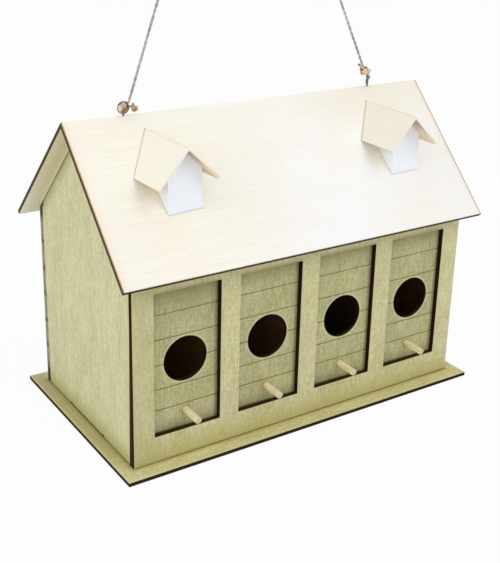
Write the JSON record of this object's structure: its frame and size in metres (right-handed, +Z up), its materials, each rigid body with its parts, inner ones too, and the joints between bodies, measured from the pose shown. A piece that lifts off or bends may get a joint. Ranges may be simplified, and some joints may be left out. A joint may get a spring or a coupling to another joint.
{
  "type": "multi-chamber birdhouse",
  "caption": "Row birdhouse of thin laser-cut plywood with entry holes and dowel perches in framed bays, a gabled roof with small white dormers, and twine tied to screw eyes on the ridge.",
  "frame": {"origin": "centre of the base plate's underside", "axes": "+X along the ridge to the right, -Y towards the front with the entry holes, +Z up"},
  "size_m": [0.3234, 0.1893, 0.3403],
  "materials": {
    "painted_ply": "thin sage-green stain on birch-faced plywood, laser-charred edges",
    "bare_ply": "bare plywood",
    "roof_ply": "bare pale basswood plywood, laser-charred edges",
    "dormer_white": "matt white paint",
    "dowel": "bare dowel",
    "eye_steel": "darkened steel wire",
    "jute": "two-ply jute twine"
  },
  "bodies": {
    "root": {"base_plate": "painted_ply", "front_panel": "painted_ply", "front_frame": "painted_ply", "rear_panel": "painted_ply", "gable_left": "painted_ply", "gable_right": "painted_ply", "divider_1": "bare_ply", "divider_2": "bare_ply", "divider_3": "bare_ply", "roof_front": "roof_ply", "roof_rear": "roof_ply", "ridge_block_left": "bare_ply", "ridge_block_right": "bare_ply", "screw_eye_left": "eye_steel", "screw_eye_right": "eye_steel", "dormer_body_left": "dormer_white", "dormer_body_right": "dormer_white", "dormer_left_roof_left": "roof_ply", "dormer_left_roof_right": "roof_ply", "dormer_right_roof_left": "roof_ply", "dormer_right_roof_right": "roof_ply", "perch_1": "dowel", "perch_2": "dowel", "perch_3": "dowel", "perch_4": "dowel", "twine_left": "jute", "twine_right": "jute", "twine_knot_left": "jute", "twine_knot_right": "jute", "twine_end_left": "jute", "twine_end_right": "jute"}
  },
  "joints": []
}
